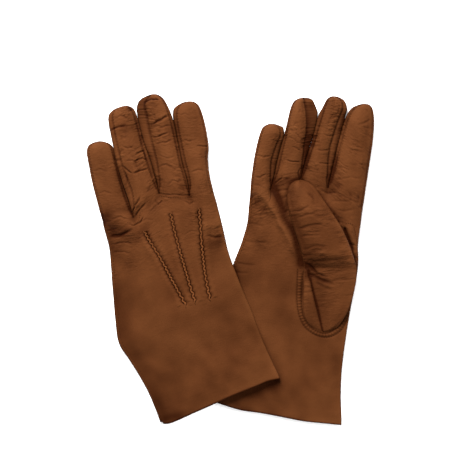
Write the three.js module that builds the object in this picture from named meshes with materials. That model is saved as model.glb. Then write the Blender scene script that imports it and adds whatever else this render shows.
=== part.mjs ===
// A pair of men's leather dress gloves, laid flat on a table.
// The right glove lies palm up with its thumb folded over the palm. The left glove lies back up,
// with its thumb folded under it, and its cuff rests on the cuff of the right glove.
// Millimetres. +X runs to the right, +Y towards the fingertips and +Z up from the table.

import * as THREE from "three";

// Driving dimensions
const LEATHER = 0.9; // one layer of leather
const LINING = 0.5; // one layer of lining
const CLEAR = 0.3; // kept between two pieces that touch
const THICKNESS = 8.4; // a glove, or its thumb, lying flat
const LAYER = THICKNESS + 0.4; // height of whatever lies on a glove or on a thumb
const KNUCKLE_GAP = 0.4; // between the hand and a finger, at the knuckle hinge
const LINING_INSET = 2.4; // from the edge of the hand to the edge of its lining
const CUFF_TURN = 4; // leather turned in at the hem, which the lining stops short of
const POINT_WIDTH = 1.8; // the raised stitched lines on the back
const POINT_HEIGHT = 0.8;
const TIP_STEPS = 6; // facets in a quarter of a fingertip

const COGNAC = new THREE.Color(0x673b20);
const COGNAC_DARK = new THREE.Color(0x5a3119);
const LINING_BROWN = new THREE.Color(0x4a3426);

// How far each cuff leans to the left is in degrees.
// Each finger: where its knuckle line crosses its centre line, how far it leans to the left, in
// degrees, its width at the knuckle and near the tip, and its length from knuckle to tip.
const LEFT_GLOVE = {
  name: "left",
  bottom: LAYER,
  backUp: true,
  cuffLean: 22,
  fingers: [
    { name: "little", base: [-97, 37.5], lean: 14.4, width: 26, tip: 23, length: 64.5 },
    { name: "ring", base: [-73, 57.5], lean: 14.5, width: 26, tip: 22, length: 75 },
    { name: "middle", base: [-48.5, 64.5], lean: 13.5, width: 23.6, tip: 23, length: 77.6 },
    { name: "index", base: [-24, 61], lean: 9.5, width: 21, tip: 20.5, length: 74.5 },
  ],
  crotches: [[-82, 39], [-59.5, 57], [-35, 58]],
  littleEdge: [[-105.5, 20], [-101, -2.5], [-98.5, -40], [-95, -69], [-84, -87.5], [-69, -112], [-57, -139.5]],
  hem: [[-47, -137.5], [-12, -121.6], [22, -107], [33, -103]],
  indexEdge: [[41, -101], [30, -75], [19.5, -47], [9.5, -22], [-1.5, 4], [-8, 30]],
  thumb: { pivot: [-20, -36], lean: 9.5, radius: 16, middle: 14.5, tip: 10.5, length: 90, hole: 11 },
  thumbBottom: 0,
};

const RIGHT_GLOVE = {
  name: "right",
  bottom: 0,
  backUp: false,
  cuffLean: 2,
  fingers: [
    { name: "little", base: [27, 65.5], lean: -9.8, width: 20.5, tip: 18.5, length: 50 },
    { name: "ring", base: [51, 73.5], lean: -11.4, width: 22, tip: 20, length: 64.5 },
    { name: "middle", base: [73.5, 69], lean: -12.8, width: 22, tip: 21.5, length: 71 },
    { name: "index", base: [100.5, 61], lean: -10, width: 29, tip: 22.2, length: 72 },
  ],
  crotches: [[37, 63], [62, 69], [86, 63]],
  littleEdge: [[15, 36], [9.5, 12], [2.5, -6], [-1.5, -35], [-6, -69], [-8.5, -98.5], [-11, -121.5]],
  hem: [[8.5, -127.5], [40, -132.6], [76.5, -138.6]],
  indexEdge: [[93.5, -140.3], [93.5, -115], [98.5, -67], [106, -22], [109, 16], [112, 38]],
  thumb: { pivot: [82.5, -42.5], lean: 10.3, radius: 20, middle: 17, tip: 11.5, length: 104, hole: 12 },
  thumbBottom: LAYER,
};

// The three stitched lines on the left glove's back, from the knuckles towards the wrist
const POINTS = {
  ring: [[-72, 24], [-67, 14.5], [-58.5, 1], [-50, -15.3], [-36.6, -40.8]],
  middle: [[-49.5, 39], [-46, 22], [-41.7, 5], [-35.7, -15.3], [-29, -37.5]],
  index: [[-25.5, 43.5], [-24.7, 16], [-23, 1], [-20.4, -15.3], [-17, -35]],
};

const radians = THREE.MathUtils.degToRad;

// A flat layer cut to an outline
function slab(outline, bottom, top, holes = []) {
  const shape = new THREE.Shape(outline.map(([x, y]) => new THREE.Vector2(x, y)));
  for (const hole of holes) {
    shape.holes.push(new THREE.Path(hole.map(([x, y]) => new THREE.Vector2(x, y))));
  }
  const geometry = new THREE.ExtrudeGeometry(shape, { depth: top - bottom, bevelEnabled: false });
  geometry.translate(0, 0, bottom);
  return geometry;
}

// An open line moved sideways, to its left for a positive distance
function offset(path, distance) {
  return path.map((point, i) => {
    const before = path[Math.max(i - 1, 0)];
    const after = path[Math.min(i + 1, path.length - 1)];
    const first = new THREE.Vector2(point[0] - before[0], point[1] - before[1]).normalize();
    const second = new THREE.Vector2(after[0] - point[0], after[1] - point[1]).normalize();
    const along = first.clone().add(second).normalize();
    const straight = i === 0 ? second : first;
    const reach = distance / Math.max(along.dot(straight), 0.5);
    return [point[0] - along.y * reach, point[1] + along.x * reach];
  });
}

// A strip of leather standing on edge along a path, with its thickness on the path's left
function strip(path, bottom, top, width = LEATHER) {
  return slab([...path, ...offset(path, width).reverse()], bottom, top);
}

function circle(radius, centre = [0, 0], steps = 16) {
  const points = [];
  for (let i = 0; i < steps; i++) {
    const angle = (i / steps) * 2 * Math.PI;
    points.push([centre[0] + radius * Math.cos(angle), centre[1] + radius * Math.sin(angle)]);
  }
  return points;
}

// The points of an arc about a centre, from one angle to another, in degrees
function arc(centre, radius, from, to, steps) {
  const points = [];
  for (let i = 0; i <= steps; i++) {
    const angle = radians(from + ((to - from) * i) / steps);
    points.push([centre[0] + radius * Math.cos(angle), centre[1] + radius * Math.sin(angle)]);
  }
  return points;
}

const mirrored = (path) => path.map(([x, y]) => [-x, y]);

function piece(name, geometry, color = COGNAC, roughness = 0.48) {
  const material = new THREE.MeshStandardMaterial({ color, roughness, metalness: 0 });
  const mesh = new THREE.Mesh(geometry, material);
  mesh.name = name;
  return mesh;
}

// The little finger's side of a finger, from the knuckle to the middle of the tip
function fingerSide({ width, tip, length }) {
  const radius = tip / 2;
  return [[-width / 2, KNUCKLE_GAP], ...arc([0, length - radius], radius, 180, 90, TIP_STEPS)];
}

// Four pieces: a back and a palm strip, and the two side strips between them, which meet at the tip
function finger(glove, spec) {
  const group = new THREE.Group();
  group.position.set(spec.base[0], spec.base[1], glove.bottom);
  group.rotation.z = radians(spec.lean);

  const side = fingerSide(spec);
  const outline = [...side, ...mirrored(side).reverse().slice(1)];
  const prefix = `${glove.name}_${spec.name}`;
  const lower = glove.backUp ? "palm" : "back";
  const upper = glove.backUp ? "back" : "palm";
  group.add(piece(`${prefix}_${lower}`, slab(outline, 0, LEATHER)));
  group.add(piece(`${prefix}_${upper}`, slab(outline, THICKNESS - LEATHER, THICKNESS)));

  // The strips stop short of each other at the middle of the tip.
  const wall = [...side];
  wall[wall.length - 1] = [-CLEAR / 2, spec.length];
  const inner = spec.name === "little" ? "outer_seam" : "fourchette_a";
  const outer = spec.name === "index" ? "outer_fold" : "fourchette_b";
  const low = LEATHER + CLEAR;
  const high = THICKNESS - LEATHER - CLEAR;
  const left = [...wall, ...offset(wall, -LEATHER).reverse()];
  left[wall.length] = [-CLEAR / 2, spec.length - LEATHER];
  group.add(piece(`${prefix}_${inner}`, slab(left, low, high), COGNAC_DARK));
  group.add(piece(`${prefix}_${outer}`, slab(mirrored(left), low, high), COGNAC_DARK));
  return group;
}

// The ends of a finger's knuckle line
function knuckle({ base, lean, width }) {
  const across = [Math.cos(radians(lean)) * (width / 2), Math.sin(radians(lean)) * (width / 2)];
  return [[base[0] - across[0], base[1] - across[1]], [base[0] + across[0], base[1] + across[1]]];
}

// The hand, from knuckles to hem: two panels, the fold and the seam at its sides, and its lining
function hand(glove) {
  const group = new THREE.Group();
  group.position.z = glove.bottom;

  const knuckles = [];
  glove.fingers.forEach((spec, i) => {
    knuckles.push(...knuckle(spec));
    if (i < glove.crotches.length) {
      knuckles.push(glove.crotches[i]);
    }
  });
  const outline = [...knuckles, ...[...glove.indexEdge].reverse(), ...[...glove.hem].reverse(),
    ...[...glove.littleEdge].reverse()];
  const hole = circle(glove.thumb.hole, glove.thumb.pivot);
  const upper = [THICKNESS - LEATHER, THICKNESS];
  const lower = [0, LEATHER];
  const [back, palm] = glove.backUp ? [upper, lower] : [lower, upper];
  group.add(piece(`${glove.name}_back_panel`, slab(outline, ...back)));
  group.add(piece(`${glove.name}_palm_panel`, slab(outline, ...palm, [hole])));

  const littleSide = [knuckles[0], ...glove.littleEdge];
  const indexSide = [...glove.indexEdge, knuckles[knuckles.length - 1]];
  const low = LEATHER + CLEAR;
  const high = THICKNESS - LEATHER - CLEAR;
  group.add(piece(`${glove.name}_little_side_seam`, strip(littleSide, low, high), COGNAC_DARK));
  group.add(piece(`${glove.name}_index_side_fold`, strip(indexSide, low, high), COGNAC_DARK));

  // The lining stops at the lowest knuckle line and inside the turned hem.
  const top = Math.min(...glove.fingers.map((spec) => spec.base[1])) - LINING_INSET;
  const start = offset(littleSide, LINING_INSET).filter(([, y]) => y < top);
  const end = offset(indexSide, LINING_INSET).filter(([, y]) => y < top);
  const turn = [-Math.sin(radians(glove.cuffLean)) * CUFF_TURN, Math.cos(radians(glove.cuffLean)) * CUFF_TURN];
  const hem = [start.pop(), ...glove.hem, end.shift()].map(([x, y]) => [x + turn[0], y + turn[1]]);
  const liner = [...start, ...hem, ...end];
  const liningUpper = [high - LINING, high];
  const liningLower = [low, low + LINING];
  const [backLining, palmLining] = glove.backUp ? [liningUpper, liningLower] : [liningLower, liningUpper];
  group.add(piece(`${glove.name}_lining_back`, slab(liner, ...backLining), LINING_BROWN, 0.9));
  group.add(piece(`${glove.name}_lining_palm`, slab(liner, ...palmLining, [hole]), LINING_BROWN, 0.9));
  return group;
}

// The thumb: a tube whose round root sits over the thumb hole in the palm. Its rear strip, next to
// the palm, starts past that hole, so the tube opens into the hand.
function thumb(glove) {
  const spec = glove.thumb;
  const group = new THREE.Group();
  group.position.set(spec.pivot[0], spec.pivot[1], glove.thumbBottom);
  group.rotation.z = radians(spec.lean);

  const tipCentre = [0, spec.length - spec.tip];
  const root = arc([0, 0], spec.radius, 270, 180, TIP_STEPS);
  const end = arc(tipCentre, spec.tip, 180, 90, TIP_STEPS);
  const side = [...root, [-spec.middle, spec.length * 0.5], ...end];
  const outline = [...side, ...mirrored(side).reverse().slice(1, -1)];
  const mouth = spec.hole + LINING_INSET;
  const mouthWidth = spec.radius - 1;
  const rearSide = [[-mouthWidth, mouth], [-spec.middle, spec.length * 0.5], ...end];
  const rear = [...rearSide, ...mirrored(rearSide).reverse().slice(1)];
  const lower = [0, LEATHER];
  const upper = [THICKNESS - LEATHER, THICKNESS];
  const [front, inside] = glove.backUp ? [lower, upper] : [upper, lower];
  group.add(piece(`${glove.name}_thumb_front`, slab(outline, ...front)));
  group.add(piece(`${glove.name}_thumb_rear`, slab(rear, ...inside)));

  const wall = [...side];
  wall[0] = [-CLEAR / 2, -spec.radius];
  wall[wall.length - 1] = [-CLEAR / 2, spec.length];
  const half = [...wall, ...offset(wall, -LEATHER).reverse()];
  half[wall.length] = [-CLEAR / 2, spec.length - LEATHER];
  half[half.length - 1] = [-CLEAR / 2, LEATHER - spec.radius];
  const low = LEATHER + CLEAR;
  const high = THICKNESS - LEATHER - CLEAR;
  group.add(piece(`${glove.name}_thumb_fold_side`, slab(half, low, high), COGNAC_DARK));
  group.add(piece(`${glove.name}_thumb_seam_side`, slab(mirrored(half), low, high), COGNAC_DARK));
  return group;
}

function glovePieces(glove) {
  const group = new THREE.Group();
  group.add(hand(glove));
  group.add(thumb(glove));
  for (const spec of glove.fingers) {
    group.add(finger(glove, spec));
  }
  return group;
}

const gloves = new THREE.Group();
gloves.add(glovePieces(RIGHT_GLOVE));
gloves.add(glovePieces(LEFT_GLOVE));

const backSurface = LAYER + THICKNESS + CLEAR;
for (const [name, path] of Object.entries(POINTS)) {
  const centred = offset(path, -POINT_WIDTH / 2);
  const ridge = strip(centred, backSurface, backSurface + POINT_HEIGHT, POINT_WIDTH);
  gloves.add(piece(`left_point_${name}`, ridge, COGNAC_DARK));
}

export default gloves;
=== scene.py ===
"""A pair of men's leather dress gloves laid flat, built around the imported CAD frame.

Shapes are worked out in millimetres in the frame's own axes: +X right, +Y towards the fingertips, +Z up.
The right glove lies palm up with its thumb on the palm. The left one lies back up over the right one's cuff.
"""
import math
from itertools import product

import bpy
import numpy as np
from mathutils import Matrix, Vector
from mathutils.bvhtree import BVHTree


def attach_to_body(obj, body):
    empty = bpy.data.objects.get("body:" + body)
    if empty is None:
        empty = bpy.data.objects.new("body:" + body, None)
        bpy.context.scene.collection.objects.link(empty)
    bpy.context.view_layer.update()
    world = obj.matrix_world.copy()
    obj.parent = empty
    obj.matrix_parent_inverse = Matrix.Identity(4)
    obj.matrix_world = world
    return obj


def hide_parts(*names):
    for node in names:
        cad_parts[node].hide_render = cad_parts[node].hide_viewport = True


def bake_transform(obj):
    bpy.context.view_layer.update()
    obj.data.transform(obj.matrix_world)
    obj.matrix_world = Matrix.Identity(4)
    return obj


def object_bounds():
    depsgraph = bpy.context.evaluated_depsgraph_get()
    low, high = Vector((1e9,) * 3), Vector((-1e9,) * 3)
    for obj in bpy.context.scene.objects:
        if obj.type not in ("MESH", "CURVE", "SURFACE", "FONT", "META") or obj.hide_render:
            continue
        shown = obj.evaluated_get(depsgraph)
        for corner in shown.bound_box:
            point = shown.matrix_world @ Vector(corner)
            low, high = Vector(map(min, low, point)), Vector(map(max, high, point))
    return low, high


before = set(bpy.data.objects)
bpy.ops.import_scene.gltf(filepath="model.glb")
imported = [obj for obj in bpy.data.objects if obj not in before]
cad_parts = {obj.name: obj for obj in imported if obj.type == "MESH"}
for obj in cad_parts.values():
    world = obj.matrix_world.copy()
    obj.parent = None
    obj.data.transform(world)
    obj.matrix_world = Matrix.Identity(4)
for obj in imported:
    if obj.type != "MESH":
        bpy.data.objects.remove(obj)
cad_low, cad_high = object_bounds()

MM = 0.001
DRAWN_LOW = (-121.68, -140.3, 0)  # the low corner of the CAD's box, where the lines below were drawn
SHIFT = np.array(cad_low) / MM - DRAWN_LOW
STEP = 0.55  # spacing of the leather's mesh
SIDE_COLUMNS = 8  # mesh columns round the edge of a hand or finger
FINGER_COLUMNS = 36
THUMB_COLUMNS = 64
FINGERS = ("little", "ring", "middle", "index")

# ---------------------------------------------------------------- outlines
# Each finger has the points up its little-finger side, its tip, and the points up its index side,
# all past the knuckle line. The edges of the hand run from the hem to the knuckles.
# The points were read off the photograph by eye and turned into millimetres by another program, so they
# are not worked out from the frame: they are only shifted to the corner of its box.
GLOVES = {
    "left": {
        "up": "back",
        "knuckles": [(-108, 32.3), (-81.6, 34.9), (-59.5, 55.2), (-34, 53.5), (-13.6, 56.9)],
        "little_edge": [(-57.8, -137.7), (-62, -126.6), (-68.8, -112.2), (-84.1, -87.5), (-94.3, -71.4),
                        (-97.3, -51.9), (-99.5, -26.3), (-102, 6), (-105, 19.6)],
        "index_edge": [(40.8, -101.1), (29.8, -74.8), (19.6, -46.8), (9.3, -22.1), (0, 2.5),
                       (-5.5, 25.5), (-11, 47.6)],
        "hem": [(-57.8, -137.7), (-55.5, -139.4), (-47.6, -137.7), (-27.2, -128.3), (-11.9, -121.5),
                (0.8, -115.6), (22.1, -107.1), (32.3, -102.8), (40.8, -101.1)],
        "fingers": {
            "little": ([(-112.2, 47.6), (-116.5, 63.8), (-119.4, 78.2), (-121.4, 91), (-118.4, 97.4)],
                       (-108.8, 100.1),
                       [(-84.6, 44.2), (-88.8, 56.1), (-93.9, 74), (-97.3, 87.5), (-100.7, 96)]),
            "ring": ([(-83.7, 47.6), (-89.2, 62.9), (-95.2, 79.9), (-99.5, 98.6), (-103.2, 118.1),
                      (-100.3, 125.4)],
                     (-91.8, 129.6),
                     [(-62.9, 65.5), (-68, 81.6), (-72.7, 96), (-77.3, 114.8), (-80.8, 125), (-85.4, 129.6)]),
            "middle": ([(-61.2, 67.1), (-65, 81.6), (-70.5, 96), (-76.1, 113), (-79, 126.6), (-76.1, 135.2)],
                       (-65.5, 140.1),
                       [(-36.5, 67.1), (-40.8, 81.6), (-43.8, 96), (-48, 114.8), (-52.7, 130), (-57.8, 137.7)]),
            "index": ([(-35.3, 65.5), (-39.1, 79), (-42.5, 96), (-45.9, 113), (-46.8, 124.1), (-43.4, 130.9)],
                      (-34.9, 134),
                      [(-17, 71.4), (-18.3, 84.1), (-17.8, 96), (-20.4, 112.2), (-24.2, 126.2), (-28.1, 132.2)]),
        },
    },
    "right": {
        "up": "palm",
        "knuckles": [(17, 53.5), (34.9, 59.5), (60.4, 68), (83.3, 60.4), (113, 43.4)],
        "little_edge": [(-11, -121.5), (-12.3, -102.8), (-9.3, -68.8), (-4.2, -34.9), (2.5, -6),
                        (9.3, 11.9), (14.4, 28.9), (16.1, 43.4)],
        "index_edge": [(93.5, -140.2), (93.5, -115.6), (95.2, -94.3), (98.6, -67.1), (102.8, -41.6),
                       (107.1, -19.6), (109.2, -2.5), (108.8, 11), (110.9, 28.1)],
        "hem": [(-11, -121.5), (8.5, -127.5), (25.5, -130), (39.9, -132.6), (61.2, -136.8), (76.5, -138.5),
                (93.5, -140.2)],
        "fingers": {
            "little": ([(18.3, 68.8), (20.4, 84.1), (23.4, 98.6), (26.8, 109.6), (30.6, 113.5)],
                       (36.5, 114.9),
                       [(37.4, 70.5), (39.5, 84.1), (43.4, 96.9), (45.6, 105.4), (42.4, 112.4)]),
            "ring": ([(38.4, 71.4), (41.4, 84.1), (45.6, 101.1), (49.5, 119.8), (53.1, 131.8), (57.8, 136)],
                     (64, 137),
                     [(63.4, 82.5), (67.2, 95.2), (71.3, 109.6), (72.6, 122.4), (71.8, 131.8), (69.4, 135.8)]),
            "middle": ([(64.2, 80.8), (68.6, 94.3), (73.2, 109.6), (76.9, 121.5), (80.3, 131.8), (83.7, 136.8)],
                       (89.2, 138.3),
                       [(86, 74), (89.3, 88.4), (93, 104.5), (96.5, 118.1), (99.2, 127.5), (96.7, 135)]),
            "index": ([(87.4, 75.6), (92.1, 94.3), (96.4, 111.3), (100.2, 122.4), (104.2, 128), (109, 130.8)],
                      (115.6, 131.9),
                      [(116, 62.9), (119, 82.5), (121.6, 101.1), (122.6, 114.8), (122, 125), (119.8, 130)]),
        },
    },
}

# How far the seam of each finger's top lies inside its outline: (share of the finger's length, distance).
# "a" is the little finger's side and "b" the index finger's. Strips between fingers show where it is large.
SEAMS = {
    "left": {
        "little": {"a": [(0, 1.5)], "b": [(0, 0.5), (0.2, 1.3)]},
        "ring": {"a": [(0, 0.5), (0.2, 4.2), (0.45, 3.8), (0.8, 4.1), (1, 3)], "b": [(0, 0.5), (0.2, 1.4)]},
        "middle": {"a": [(0, 0.5), (0.24, 2.8), (0.41, 5), (0.73, 8), (1, 4)], "b": [(0, 0.5), (0.2, 1.4)]},
        "index": {"a": [(0, 0.5), (0.23, 2.4), (0.5, 1.8)], "b": [(0, 1.5)]},
    },
    "right": {
        "little": {"a": [(0, 1.5)], "b": [(0, 0.5), (0.2, 3), (0.4, 4.2), (0.6, 4), (0.85, 1.8)]},
        "ring": {"a": [(0, 0.5), (0.2, 1.4)],
                 "b": [(0, 0.5), (0.2, 1.8), (0.41, 4.4), (0.6, 6.3), (0.87, 8.2), (1, 6)]},
        "middle": {"a": [(0, 0.5), (0.2, 1.4)],
                   "b": [(0, 0.5), (0.13, 2.4), (0.27, 4.6), (0.42, 6), (0.73, 4), (0.9, 2.6)]},
        "index": {"a": [(0, 0.5), (0.2, 1.4)], "b": [(0, 1.5)]},
    },
}
FINGER_GAP = -0.3  # neighbours press on each other low down, where their strips bulge
BULGE_MOST = 2.6

# How tall a hand is, from hem to knuckle: share of the way, height of the sides, and of the dome on top
HAND_HEIGHTS = [(0, 1.5, 1.2), (0.3, 1.7, 1.4), (0.55, 2.0, 2.0), (0.8, 2.7, 3.4), (1, 3.0, 3.8)]
FINGER_SIDE = 3.0
FINGER_DOME = 3.8
BELLY = 0.6  # how far the underside bulges below the sides
SEAM_INSET = 1.5  # from the outline to the seam, seen from above
LEFT_LIFT = 8.3  # the left glove's index side is held up by its own thumb
PALM_RISE = 1.6  # the right palm is fuller towards the thumb
CUFF_LIFT = 5.2  # and its cuff by the right glove's cuff
LEATHER_THICK = 0.9
TABLE_CLEARANCE = 0.02
WEB_ROWS = 9  # how far the webs reach up between the fingers, in rows of the mesh
FINGER_FULLNESS = 2.4  # how flat-topped a finger, a thumb and a hand are, seen end on
THUMB_FULLNESS = 2.2
HAND_FLATNESS = 5.0
WEB_COLUMNS = 4
CLOTH_GAP = 0.12
HEM_ROUND = 0.8  # how far the hem's rounded edge reaches past the skin
HEM_TURNED_IN = (3, 6, 9)
THUMB_BREADTH = 34
SIDE_UNROLLED = 9  # the side of a hand or finger laid flat, as the leather's grain sees it
OTHER_SIDE = 300  # from the grain of the upper side to that of the underside
FAR = 9  # a seam this far away leaves no mark
CELL = 1.0  # of the height map that recesses are found with
THUMB_SIDE = 2.5
THUMB_DOME = 3.8

# Each thumb's foot, its fold's side, its tip and its seam's side
THUMB = {
    "right": {
        "root": (81.3, -62.5),
        "a": [(71, -59), (63.9, -49.9), (62.2, -36.9), (62.6, -23.8), (63, -11), (62.4, -2), (59.5, 9.9),
              (54.2, 25.5), (49.7, 42.5), (48.5, 55), (52, 63.8)],
        "tip": (60.1, 67),
        "b": [(91.2, -57.6), (98.4, -47.3), (102.6, -36.9), (105.3, -27.8), (107.2, -17.4), (107.3, -8.3),
              (105.4, -0.6), (101.4, 11.1), (95, 25.5), (87.2, 38), (78.3, 51.3), (69.5, 63)],
    },
    "left": {
        "root": (-19, -50),
        "a": [(-28, -49), (-35, -40), (-37.5, -22), (-38.5, -5), (-41, 12), (-44, 30), (-44.5, 44)],
        "tip": (-36.5, 52.5),
        "b": [(-10, -49), (-4.5, -40), (-5, -22), (-9, -5), (-14.5, 12), (-20.5, 30), (-27.5, 45)],
    },
}
# The long crease of the right thumb, and its folds: a line, how deep and how wide
THUMB_CREASE = [(62.2, 0), (65.3, -7.1), (68, -17), (70.5, -27.8), (74, -41), (77.2, -54.5), (79, -62)]
THUMB_FOLDS = [
    ([(64, -3), (70, -9), (74, -13), (84, -15)], 1.0, 1.8),
    ([(72, -19), (80, -24), (88, -27)], 0.5, 1.6),
    ([(66, -12), (76, -17), (89, -22)], 1.0, 2.8),
    ([(53, 40), (60, 42), (68, 45)], 0.5, 1.5),
    ([(55, 34), (63, 37), (74, 40)], 0.5, 1.4),
    ([(56, 25), (66, 28), (80, 30)], 0.55, 1.6),
    ([(58, 18), (66, 20), (78, 21)], 0.4, 1.5),
    ([(60, 8), (70, 11), (84, 10)], 0.45, 1.8),
    ([(64, 57), (70, 53), (72, 49)], 0.4, 1.6),
]

# The two rows of stitches round the right thumb's foot, and the open fold beside it
THUMB_SEAM_OUT = [(57.5, -7.6), (57, -22), (57, -37), (59.5, -50), (65.3, -59.5), (75.5, -65.5), (84.7, -66),
                  (93.8, -61), (99, -52.4), (101, -44.7)]
THUMB_SEAM_IN = [(62.3, -9.4), (61.3, -18.7), (60.8, -37), (62.4, -48.5), (66.9, -56.4), (74.6, -61.8),
                 (82.3, -63), (90, -58.8), (96, -52), (98.6, -44.7)]
QUIRK = [(96.8, 28), (99.3, 21), (102.6, 12), (105.6, 4)]
QUIRK_SEAMS = [
    [(97.5, 29.5), (101, 30.3), (104.5, 28.8)],
    [(105, 27.5), (107.2, 18), (108.3, 8)],
]
CROTCH_SEAMS = [
    [(-60.5, 53.4), (-50, 52), (-35, 51.6)],
    [(-87, 31), (-82, 28.5), (-77, 32), (-75.5, 40)],
]
STITCH_PITCH = 2.4
RUNG_PITCH = 2.7

# The raised points on the left glove's back
POINTS = {
    "ring": [(-72.2, 23.8), (-67.1, 14.4), (-58.6, 0.8), (-50.1, -15.3), (-41.6, -30.6), (-36.8, -40.2)],
    "middle": [(-50.1, 39.9), (-46.8, 24.6), (-41.6, 5.1), (-35.7, -15.3), (-28.9, -37.4)],
    "index": [(-25.9, 43.4), (-24.8, 29.8), (-23.6, 11.9), (-20.4, -15.3), (-16.4, -35)],
}
POINT_WAVE = 5.0  # length of one zigzag of the points
POINT_SWING = 0.46

# Wrinkles all over: depth, size along each axis of the leather and seed, and how sharp the thin ones are
SOFT_WRINKLES = {
    "hand": [(0.3, (13, 2.6, 9), 4), (0.34, (8, 6, 9), 8)],
    "thumb": [(0.5, (15, 3.4, 9), 12), (0.4, (9, 7, 9), 17)],
}
SHARP_WRINKLES = {
    "hand": [(0.42, (15, 4.2, 9), 6, 0.16), (0.22, (7, 7, 9), 7, 0.16)],
    "thumb": [(0.24, (17, 4.4, 9), 13, 0.3), (0.14, (8, 3.2, 9), 16, 0.25)],
}
RUMPLE = {"left": (0.9, 0.1, 1, 0.95, 0.15), "right": (1, 0.8, 0.85, 0.95, 0.85)}  # hand, then each finger
RUMPLE_FROM = {"left": -26, "right": -75}  # how far below the knuckles the wrinkles begin

# Creases pressed into the leather: a line, how deep and how wide
CREASES = {
    "left": [
        ([(-102, 107), (-94, 113), (-86, 113)], 0.85, 1.5),
        ([(-100, 118), (-93, 121), (-84, 118)], 0.5, 1.0),
        ([(-91, 78.5), (-86, 74), (-81.6, 71.8)], 1.0, 0.9),
        ([(-82.5, 72), (-75, 75), (-67.7, 76.7)], 1.0, 0.9),
        ([(-88, 72), (-87, 66), (-89, 60)], 0.5, 1.2),
        ([(-80, 88), (-73, 91.5), (-70, 84)], 1.0, 0.9),
        ([(-82, 83), (-74, 85.5), (-68, 83)], 0.9, 1.0),
        ([(-86, 96), (-80, 93), (-74, 95)], 0.4, 0.9),
        ([(-74, 131), (-67, 136), (-58, 135)], 1.0, 1.4),
        ([(-67.7, 102), (-60, 103.5), (-51.4, 107)], 1.0, 0.9),
        ([(-64, 97.5), (-55, 98.5), (-46.5, 101)], 0.7, 0.9),
        ([(-66, 114), (-58, 118), (-50, 122)], 1.1, 1.3),
        ([(-61, 110), (-54, 113), (-49, 113)], 0.5, 1.0),
        ([(-60, 88), (-52, 85), (-45, 87)], 0.35, 1.0),
        ([(-39, 101.5), (-35, 99.5), (-31, 100)], 0.5, 0.9),
        ([(-29, 96.5), (-23, 95), (-17, 95.5)], 0.7, 0.9),
        ([(-43, 121), (-38, 123), (-33, 121)], 0.35, 0.9),
        ([(-64, 55.5), (-55, 55), (-45, 54), (-33, 54.5)], 0.5, 0.7),
        ([(-104, 19), (-92, 20), (-80, 26)], 0.9, 1.8),
        ([(-100, 13), (-90, 14), (-80, 12)], 0.5, 1.1),
        ([(-19, 20), (-12, 18), (-5, 20)], 0.6, 1.6),
        ([(-78, 30), (-70, 34), (-62, 32)], 0.4, 1.1),
        ([(-40, 20), (-32, 24), (-26, 22)], 0.3, 0.9),
        ([(-84, 37), (-80, 45), (-75, 53)], 0.9, 1.0),
        ([(-80, 35), (-76, 42), (-70, 48)], 0.7, 0.9),
        ([(-86, 32), (-82, 28), (-76, 31), (-72, 37)], 0.8, 0.9),
        ([(-63, 50), (-60, 46), (-56, 50)], 0.6, 0.8),
        ([(-38, 49), (-34, 46), (-30, 49)], 0.5, 0.8),
        ([(-101, 33), (-92, 36), (-85, 33)], 0.6, 1.2),
        ([(-100, 5), (-90, 7), (-82, 4)], 0.4, 1.2),
        ([(-89, 82), (-83, 84), (-77, 81)], 0.6, 0.9),
        ([(-92, 96), (-86, 94), (-80, 96)], 0.5, 0.9),
        ([(-62, 77), (-54, 80), (-46, 76)], 0.5, 1.0),
        ([(-54, 62), (-48, 66), (-42, 65)], 0.45, 0.9),
        ([(-33, 72), (-27, 76), (-20, 74)], 0.5, 1.1),
        ([(-112, 55), (-106, 57), (-99, 55)], 0.35, 1.1),
        ([(-116, 74), (-109, 76), (-102, 74)], 0.3, 1.1),
    ],
    "right": [
        ([(52, 95), (57, 94), (62, 91)], 0.6, 0.8),
        ([(49, 103), (54, 101), (61, 97)], 0.4, 0.8),
        ([(46, 85), (52, 82), (60, 82)], 0.9, 0.8),
        ([(55, 107), (59, 103), (62, 101)], 0.4, 0.8),
        ([(73, 93), (79, 91), (85, 93)], 0.5, 1.0),
        ([(75, 80), (80, 81), (86, 82)], 0.5, 1.0),
        ([(98, 93), (108, 92), (117, 90)], 0.2, 1.0),
        ([(108, 113), (114, 115), (120, 119)], 0.4, 1.3),
        ([(19, 62), (24, 63), (32, 57)], 0.35, 1.3),
        ([(18, 38), (27, 37), (35, 38)], 0.28, 1.7),
        ([(13, 31), (22, 30), (31, 27)], 0.22, 1.5),
        ([(10, 16), (20, 14), (34, 14)], 0.25, 1.8),
        ([(4, -3), (13, -5), (24, -5)], 0.26, 1.6),
        ([(3, -11), (9, -12), (17, -11)], 0.22, 1.5),
        ([(20, 70), (26, 69), (32, 72)], 0.5, 1.0),
        ([(22, 88), (28, 86), (36, 88)], 0.5, 1.0),
        ([(36, 62), (40, 66), (45, 70)], 0.7, 0.9),
        ([(60, 66), (58, 72), (60, 78)], 0.7, 0.8),
        ([(84, 58), (82, 66), (83, 72)], 0.7, 0.8),
        ([(38, 57), (46, 59), (54, 58)], 0.4, 1.4),
        ([(43, 51), (48, 53), (52, 52)], 0.35, 1.3),
        ([(76, 60), (84, 56), (92, 57)], 0.4, 1.3),
        ([(84, 49), (94, 49), (104, 50)], 0.3, 1.3),
        ([(88, 42), (98, 41), (108, 43)], 0.3, 1.3),
        ([(64, 104), (69, 106), (74, 104)], 0.3, 0.9),
        ([(78, 106), (85, 104), (92, 107)], 0.45, 1.0),
        ([(96, 81), (108, 80), (116, 80)], 0.2, 1.1),
        ([(92, 68), (104, 69), (113, 68)], 0.25, 1.1),
    ],
}
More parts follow.
